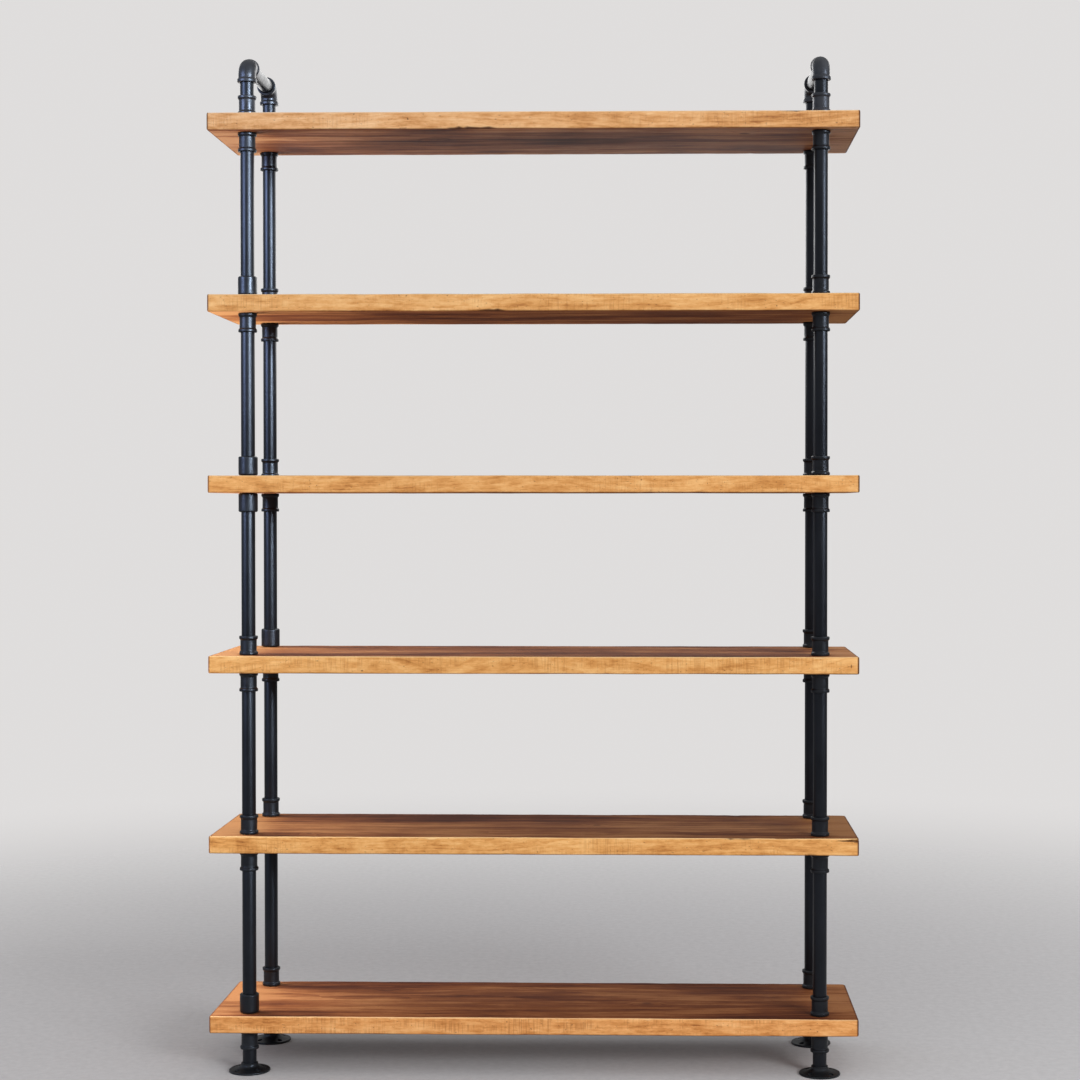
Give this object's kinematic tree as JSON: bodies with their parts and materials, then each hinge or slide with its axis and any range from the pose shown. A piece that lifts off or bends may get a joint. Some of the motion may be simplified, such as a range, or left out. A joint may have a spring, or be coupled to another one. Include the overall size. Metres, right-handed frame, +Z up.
{
  "type": "pipe-frame bookcase",
  "caption": "Free-standing open bookcase: thick timber shelves clamped between threaded sockets on black iron pipe uprights, with floor flanges and looped tops.",
  "frame": {"origin": "on the floor, under the middle of the bookcase", "axes": "+X along the shelves, to the right seen from the front; -Y towards the front; +Z up"},
  "size_m": [1.26, 0.31, 1.98],
  "materials": {
    "stained_pine": "rough-sawn pine, honey-brown stain and clear satin finish",
    "black_pipe": "smooth black paint, semi-gloss",
    "malleable_iron": "fine cast skin, black, satin"
  },
  "bodies": {
    "root": {"front_left_floor_flange": "malleable_iron", "front_left_foot_post": "black_pipe", "front_left_pipe_1": "black_pipe", "front_left_pipe_2": "black_pipe", "front_left_pipe_3": "black_pipe", "front_left_pipe_4": "black_pipe", "front_left_pipe_5": "black_pipe", "front_left_socket_2": "malleable_iron", "front_left_socket_3": "malleable_iron", "front_left_socket_4": "malleable_iron", "front_left_socket_5": "malleable_iron", "front_left_top_post": "black_pipe", "front_left_elbow": "malleable_iron", "front_right_floor_flange": "malleable_iron", "front_right_foot_post": "black_pipe", "front_right_pipe_1": "black_pipe", "front_right_pipe_2": "black_pipe", "front_right_pipe_3": "black_pipe", "front_right_pipe_4": "black_pipe", "front_right_pipe_5": "black_pipe", "front_right_socket_2": "malleable_iron", "front_right_socket_3": "malleable_iron", "front_right_socket_4": "malleable_iron", "front_right_socket_5": "malleable_iron", "front_right_top_post": "black_pipe", "front_right_elbow": "malleable_iron", "rear_left_floor_flange": "malleable_iron", "rear_left_foot_post": "black_pipe", "rear_left_pipe_1": "black_pipe", "rear_left_pipe_2": "black_pipe", "rear_left_pipe_3": "black_pipe", "rear_left_pipe_4": "black_pipe", "rear_left_pipe_5": "black_pipe", "rear_left_socket_2": "malleable_iron", "rear_left_socket_3": "malleable_iron", "rear_left_socket_4": "malleable_iron", "rear_left_socket_5": "malleable_iron", "rear_left_top_post": "black_pipe", "rear_left_elbow": "malleable_iron", "rear_right_floor_flange": "malleable_iron", "rear_right_foot_post": "black_pipe", "rear_right_pipe_1": "black_pipe", "rear_right_pipe_2": "black_pipe", "rear_right_pipe_3": "black_pipe", "rear_right_pipe_4": "black_pipe", "rear_right_pipe_5": "black_pipe", "rear_right_socket_2": "malleable_iron", "rear_right_socket_3": "malleable_iron", "rear_right_socket_4": "malleable_iron", "rear_right_socket_5": "malleable_iron", "rear_right_top_post": "black_pipe", "rear_right_elbow": "malleable_iron", "left_cross_pipe": "black_pipe", "right_cross_pipe": "black_pipe", "shelf_1": "stained_pine", "shelf_2": "stained_pine", "shelf_3": "stained_pine", "shelf_4": "stained_pine", "shelf_5": "stained_pine", "shelf_6": "stained_pine"}
  },
  "joints": []
}
